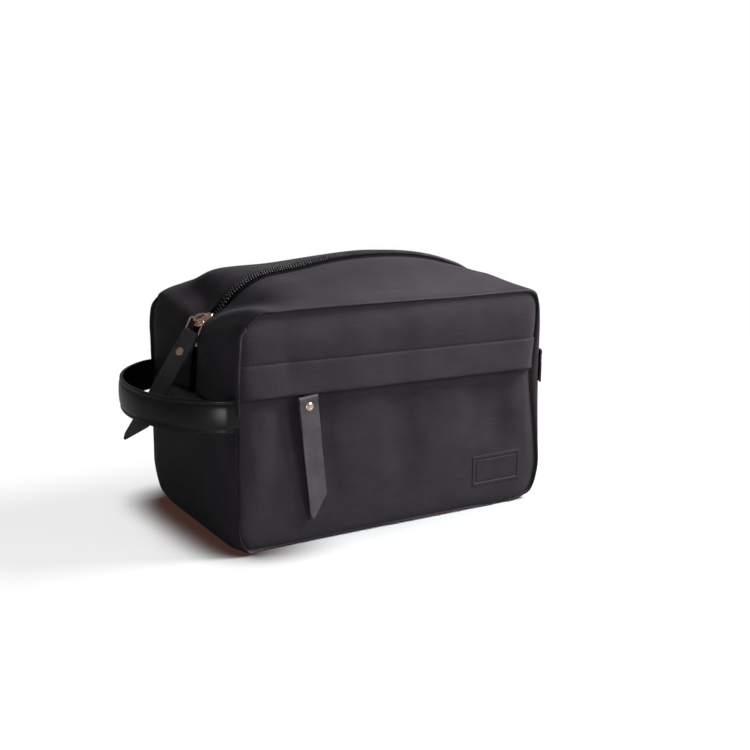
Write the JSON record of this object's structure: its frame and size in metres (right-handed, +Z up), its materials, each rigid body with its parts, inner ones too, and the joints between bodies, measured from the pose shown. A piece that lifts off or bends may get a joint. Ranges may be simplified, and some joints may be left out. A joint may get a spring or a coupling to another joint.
{
  "type": "toiletry bag",
  "caption": "Soft black box-shaped toiletry bag with a curved zip top that opens wide, a zipped front pocket under a flap, leather pulls and a carrying strap on one end.",
  "frame": {"origin": "middle of the flat base, under the bag itself and not counting the strap", "axes": "+X along the bag away from the carrying strap, -Y the pocket side, +Z up"},
  "size_m": [0.3016, 0.1462, 0.186],
  "materials": {
    "shell_nylon": "satin coated nylon",
    "lining_cloth": "plain polyester",
    "foam": "soft padding",
    "board": "polyethylene sheet",
    "zip_tape": "woven polyester",
    "zip_coil": "nylon monofilament",
    "rose_metal": "polished light gold plating",
    "pull_leather": "matt",
    "strap_leather": "glossy",
    "patch_rubber": "blank moulded"
  },
  "bodies": {
    "bag_body": {"front_pocket_panel": "shell_nylon", "front_upper_panel": "shell_nylon", "pocket_flap_facing": "shell_nylon", "pocket_seam_allowance": "shell_nylon", "pocket_upper_tape": "zip_tape", "pocket_lower_tape": "zip_tape", "pocket_coil": "zip_coil", "pocket_zip_stops": "rose_metal", "pocket_back_panel": "shell_nylon", "front_foam": "foam", "front_lining": "lining_cloth", "back_panel": "shell_nylon", "back_foam": "foam", "back_lining": "lining_cloth", "front_seam_bead": "shell_nylon", "back_seam_bead": "shell_nylon", "bottom_gusset": "shell_nylon", "base_board": "board", "bottom_lining": "lining_cloth", "left_end_panel": "shell_nylon", "right_end_panel": "shell_nylon", "left_end_foam": "foam", "right_end_foam": "foam", "left_end_lining": "lining_cloth", "right_end_lining": "lining_cloth", "left_top_end": "shell_nylon", "right_top_end": "shell_nylon", "left_zip_end_tape": "zip_tape", "right_zip_end_tape": "zip_tape", "left_zip_end_coil": "zip_coil", "right_zip_end_coil": "zip_coil", "zip_stops": "rose_metal", "label_patch": "patch_rubber", "side_tab": "shell_nylon"},
    "front_flap": {"front_top_fabric": "shell_nylon", "front_top_lining": "lining_cloth", "front_zip_tape": "zip_tape", "front_zip_coil": "zip_coil"},
    "rear_flap": {"rear_top_fabric": "shell_nylon", "rear_top_lining": "lining_cloth", "rear_zip_tape": "zip_tape", "rear_zip_coil": "zip_coil"},
    "main_slider": {"zip_slider": "rose_metal"},
    "main_ring": {"zip_slider_ring": "rose_metal"},
    "main_pull": {"zip_pull_leather": "pull_leather", "zip_pull_rivet": "rose_metal"},
    "pocket_slider": {"pocket_slider": "rose_metal", "pocket_slider_link": "rose_metal"},
    "pocket_pull": {"pocket_pull_leather": "pull_leather", "pocket_pull_rivet": "rose_metal"},
    "carry_strap": {"strap_face": "strap_leather", "strap_backing": "strap_leather"}
  },
  "joints": [
    {"name": "front_flap_fold", "type": "hinge", "parent": "bag_body", "child": "front_flap", "pos_m": [0, -0.0686, 0.16], "axis": [1, 0, 0], "range_deg": [0, 75]},
    {"name": "rear_flap_fold", "type": "hinge", "parent": "bag_body", "child": "rear_flap", "pos_m": [0, 0.0686, 0.16], "axis": [-1, 0, 0], "range_deg": [0, 75]},
    {"name": "main_slider_travel", "type": "hinge", "parent": "bag_body", "child": "main_slider", "pos_m": [0.0125, 0, -0.038], "axis": [0, 1, 0], "range_deg": [0, 60.35]},
    {"name": "main_ring_swing", "type": "hinge", "parent": "main_slider", "child": "main_ring", "pos_m": [-0.11943, 0, 0.14774], "axis": [0, 1, 0], "range_deg": [0, 75.93]},
    {"name": "main_pull_swing", "type": "hinge", "parent": "main_ring", "child": "main_pull", "pos_m": [-0.12803, 0, 0.14104], "axis": [0, 1, 0], "range_deg": [-4, 2]},
    {"name": "pocket_slider_travel", "type": "slide", "parent": "bag_body", "child": "pocket_slider", "axis": [0.9998, 0, -0.0223], "range_m": [0, 0.164]},
    {"name": "pocket_pull_swing", "type": "hinge", "parent": "pocket_slider", "child": "pocket_pull", "pos_m": [-0.07407, -0.07275, 0.10231], "axis": [-0.9998, 0, 0.0223], "range_deg": [0, 80]},
    {"name": "carry_strap_swing", "type": "hinge", "parent": "bag_body", "child": "carry_strap", "pos_m": [-0.13795, 0, 0.09565], "axis": [0, 1, 0], "range_deg": [-2, 60]}
  ],
  "couplings": [
    {"joint": "main_ring_swing", "follows": "main_slider_travel", "ratio": 1.25}
  ]
}
